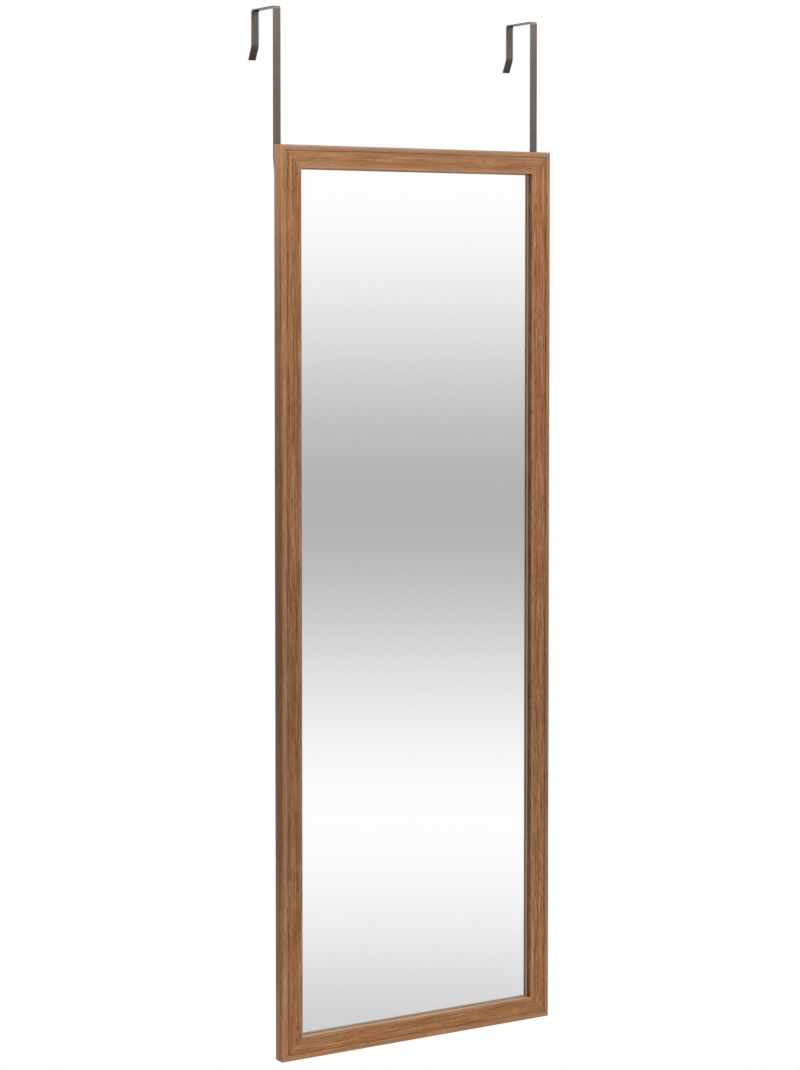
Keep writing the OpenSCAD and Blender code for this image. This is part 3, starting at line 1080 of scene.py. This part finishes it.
# Each lamp: its name, where it stands, what it faces, its size in metres, its power in watts, and
# whether it shows in shiny surfaces
LAMPS = (
    ("key_light", (1.2, -1.7, 1.6), (0.0, 0.0, -0.6), 2.2, 40, True),
    ("back_light", (-0.8, 2.4, 0.9), (0.0, 0.0, -0.6), 1.6, 30, True),
    ("side_light_high", (-0.5, -0.018, 0.0), (-0.19, -0.018, -0.2), 0.3, 2.6, False),
    ("side_light_low", (-0.5, -0.018, -1.5), (-0.19, -0.018, -1.2), 0.3, 2.2, False),
)
FLOOR_REACH = 30
FLOOR_FADE = (0.8, 2.4)  # distances from the middle between which the floor turns into the background
SENSOR_WIDTH = 36  # millimetres
LENS_SHIFT = -0.13  # downwards, in heights of the picture
CLIP = (0.05, 100)


class MIRROR_OT_stage(bpy.types.Operator):
    """Set up the floor, the soft studio light, the background and the camera"""

    bl_idname = "door_mirror.stage"
    bl_label = "Stage"

    def execute(self, context):
        settings = context.scene.door_mirror_stage
        context.scene.view_settings.view_transform = "Standard"
        self.world(context.scene)
        self.floor(settings)
        for lamp in LAMPS:
            self.lamp(*lamp)
        self.camera(settings)
        return {"FINISHED"}

    def world(self, scene):
        """White behind the object, soft light from above on it, and the studio's belt in its gloss."""
        world = bpy.data.worlds.new("studio")
        world.use_nodes = True
        scene.world = world
        tree = world.node_tree
        tree.nodes.clear()
        way = add(tree, "ShaderNodeTexCoord").outputs["Generated"]
        axes = add(tree, "ShaderNodeSeparateXYZ", {"Vector": way}).outputs
        place = add(
            tree, "ShaderNodeMapRange", {"Value": axes["Z"], "From Min": -1.0, "From Max": 1.0}
        ).outputs["Result"]
        stops = []
        for degrees, grey in STUDIO_BELT:
            shade = colour("#" + 3 * f"{grey:02X}")
            stops.append(((math.sin(math.radians(degrees)) + 1) / 2, rgba(shade)))
        belt_node = add(tree, "ShaderNodeValToRGB", {"Fac": place})
        belt_node.color_ramp.interpolation = "EASE"
        sweep = add(
            tree,
            "ShaderNodeMapRange",
            {
                "Value": axes["Z"],
                "From Min": SWEEP_HEIGHT[0],
                "From Max": SWEEP_HEIGHT[1],
                "To Min": SWEEP_LIGHT[0],
                "To Max": SWEEP_LIGHT[1],
            },
        ).outputs["Result"]
        behind = add(
            tree,
            "ShaderNodeMapRange",
            {"Value": axes["Y"], "From Min": BEHIND[0], "From Max": BEHIND[1]},
        ).outputs["Result"]
        around = add(
            tree,
            "ShaderNodeMix",
            {"Factor": behind, 6: ramp(belt_node, stops), 7: sweep},
            data_type="RGBA",
        ).outputs[2]
        dim = add(
            tree,
            "ShaderNodeMapRange",
            {
                "Value": axes["X"],
                "From Min": DIM_SIDE[0],
                "From Max": DIM_SIDE[1],
                "To Min": DIM_LIGHT[0],
                "To Max": DIM_LIGHT[1],
            },
        ).outputs["Result"]
        belt = add(tree, "ShaderNodeVectorMath", {0: around, "Scale": dim}, operation="SCALE")
        facing = add(
            tree,
            "ShaderNodeVectorMath",
            {0: way, 1: DOME_WAY},
            operation="DOT_PRODUCT",
        ).outputs["Value"]
        dome = add(
            tree,
            "ShaderNodeMapRange",
            {
                "Value": facing,
                "From Min": -1.0,
                "From Max": 1.0,
                "To Min": DOME_MIDDLE - DOME_SPREAD,
                "To Max": DOME_MIDDLE + DOME_SPREAD,
            },
        ).outputs["Result"]
        ray = add(tree, "ShaderNodeLightPath")
        shiny = add(
            tree,
            "ShaderNodeMath",
            {0: ray.outputs["Is Glossy Ray"], 1: ray.outputs["Is Transmission Ray"]},
            operation="MAXIMUM",
        ).outputs["Value"]
        seen = add(
            tree,
            "ShaderNodeMix",
            {"Factor": shiny, 6: dome, 7: belt.outputs["Vector"]},
            data_type="RGBA",
        ).outputs[2]
        shown = add(
            tree,
            "ShaderNodeMix",
            {"Factor": ray.outputs["Is Camera Ray"], 6: seen, 7: (1, 1, 1, 1)},
            data_type="RGBA",
        ).outputs[2]
        light = add(tree, "ShaderNodeBackground", {"Color": shown, "Strength": 1.0})
        add(tree, "ShaderNodeOutputWorld", {"Surface": light.outputs["Background"]})

    def floor(self, settings):
        """A pale floor at the foot of the door, fading to the white of the background."""
        bm = bmesh.new()
        bmesh.ops.create_grid(
            bm,
            x_segments=1,
            y_segments=1,
            size=FLOOR_REACH,
            matrix=Matrix.Translation((0, 0, -settings.floor_drop)),
        )
        mesh = bpy.data.meshes.new("studio_floor")
        bm.to_mesh(mesh)
        bm.free()
        floor = bpy.data.objects.new("studio_floor", mesh)
        bpy.context.scene.collection.objects.link(floor)
        floor.visible_glossy = False
        floor.visible_transmission = False

        material, tree, shader = new_material("pale_floor")
        mesh.materials.append(material)
        shader.inputs["Base Color"].default_value = rgba(colour("#E9E9E8"))
        shader.inputs["Roughness"].default_value = 0.8
        place = add(tree, "ShaderNodeTexCoord").outputs["Object"]
        flat = add(
            tree,
            "ShaderNodeVectorMath",
            {0: place, 1: (1, 1, 0)},
            operation="MULTIPLY",
        ).outputs["Vector"]
        far = add(tree, "ShaderNodeVectorMath", {0: flat}, operation="LENGTH").outputs["Value"]
        fade = add(
            tree,
            "ShaderNodeMapRange",
            {"Value": far, "From Min": FLOOR_FADE[0], "From Max": FLOOR_FADE[1]},
            interpolation_type="SMOOTHSTEP",
        ).outputs["Result"]
        camera_ray = add(tree, "ShaderNodeLightPath").outputs["Is Camera Ray"]
        share = add(tree, "ShaderNodeMath", {0: fade, 1: camera_ray}, operation="MULTIPLY").outputs["Value"]
        white = add(tree, "ShaderNodeEmission", {"Color": (1, 1, 1, 1), "Strength": 1.0})
        mixed = add(
            tree, "ShaderNodeMixShader", {0: share, 1: shader.outputs["BSDF"], 2: white.outputs["Emission"]}
        )
        output = next(n for n in tree.nodes if n.type == "OUTPUT_MATERIAL")
        tree.links.new(mixed.outputs["Shader"], output.inputs["Surface"])

    def lamp(self, name, place, target, size, power, glossy):
        """A square soft lamp that faces its target, and may or may not show in shiny surfaces."""
        data = bpy.data.lights.new(name, "AREA")
        data.shape = "SQUARE"
        data.size = size
        data.energy = power
        lamp = bpy.data.objects.new(name, data)
        lamp.location = place
        lamp.rotation_euler = (Vector(target) - Vector(place)).to_track_quat("-Z", "Y").to_euler()
        lamp.visible_camera = False
        lamp.visible_glossy = glossy
        bpy.context.scene.collection.objects.link(lamp)

    def camera(self, settings):
        """A long lens from the left and a little below the hooks, as in the photograph."""
        data = bpy.data.cameras.new("camera")
        data.sensor_width = SENSOR_WIDTH
        data.lens = settings.focal_length
        data.shift_y = LENS_SHIFT
        data.clip_start, data.clip_end = CLIP
        camera = bpy.data.objects.new("camera", data)
        camera.location = settings.camera_place
        camera.rotation_euler = Euler((math.radians(90) - settings.camera_dip, 0, -settings.camera_turn))
        bpy.context.scene.collection.objects.link(camera)
        bpy.context.scene.camera = camera


# ---- Panel and registration ----------------------------------------------------------------------


class MIRROR_PT_panel(bpy.types.Panel):
    """Buttons and settings for each part of the mirror"""

    bl_label = "Door Mirror"
    bl_idname = "MIRROR_PT_panel"
    bl_space_type = "VIEW_3D"
    bl_region_type = "UI"
    bl_category = "Door Mirror"

    def draw(self, context):
        for operator, settings in STEPS:
            box = self.layout.box()
            box.operator(operator.bl_idname)
            if settings is None:
                continue
            group = getattr(context.scene, settings)
            for name in group.bl_rna.properties.keys():
                if name not in ("rna_type", "name"):
                    box.prop(group, name)


STEPS = (
    (MIRROR_OT_stage, "door_mirror_stage"),
    (MIRROR_OT_moulding, "door_mirror_moulding"),
    (MIRROR_OT_glass, "door_mirror_glass"),
    (MIRROR_OT_back, "door_mirror_back"),
    (MIRROR_OT_screws, None),  # their zinc is among the back's settings
    (MIRROR_OT_straps, "door_mirror_straps"),
)
SETTINGS = {
    "door_mirror_stage": StageSettings,
    "door_mirror_moulding": MouldingSettings,
    "door_mirror_glass": GlassSettings,
    "door_mirror_back": BackSettings,
    "door_mirror_straps": StrapSettings,
}
CLASSES = (*SETTINGS.values(), *(operator for operator, _ in STEPS), MIRROR_PT_panel)


def register():
    for cls in CLASSES:
        bpy.utils.register_class(cls)
    for name, group in SETTINGS.items():
        setattr(bpy.types.Scene, name, PointerProperty(type=group))


def unregister():
    for name in SETTINGS:
        delattr(bpy.types.Scene, name)
    for cls in reversed(CLASSES):
        bpy.utils.unregister_class(cls)


def main():
    register()
    for operator, _ in STEPS:
        category, name = operator.bl_idname.split(".")
        getattr(getattr(bpy.ops, category), name)()


if __name__ == "__main__":
    main()
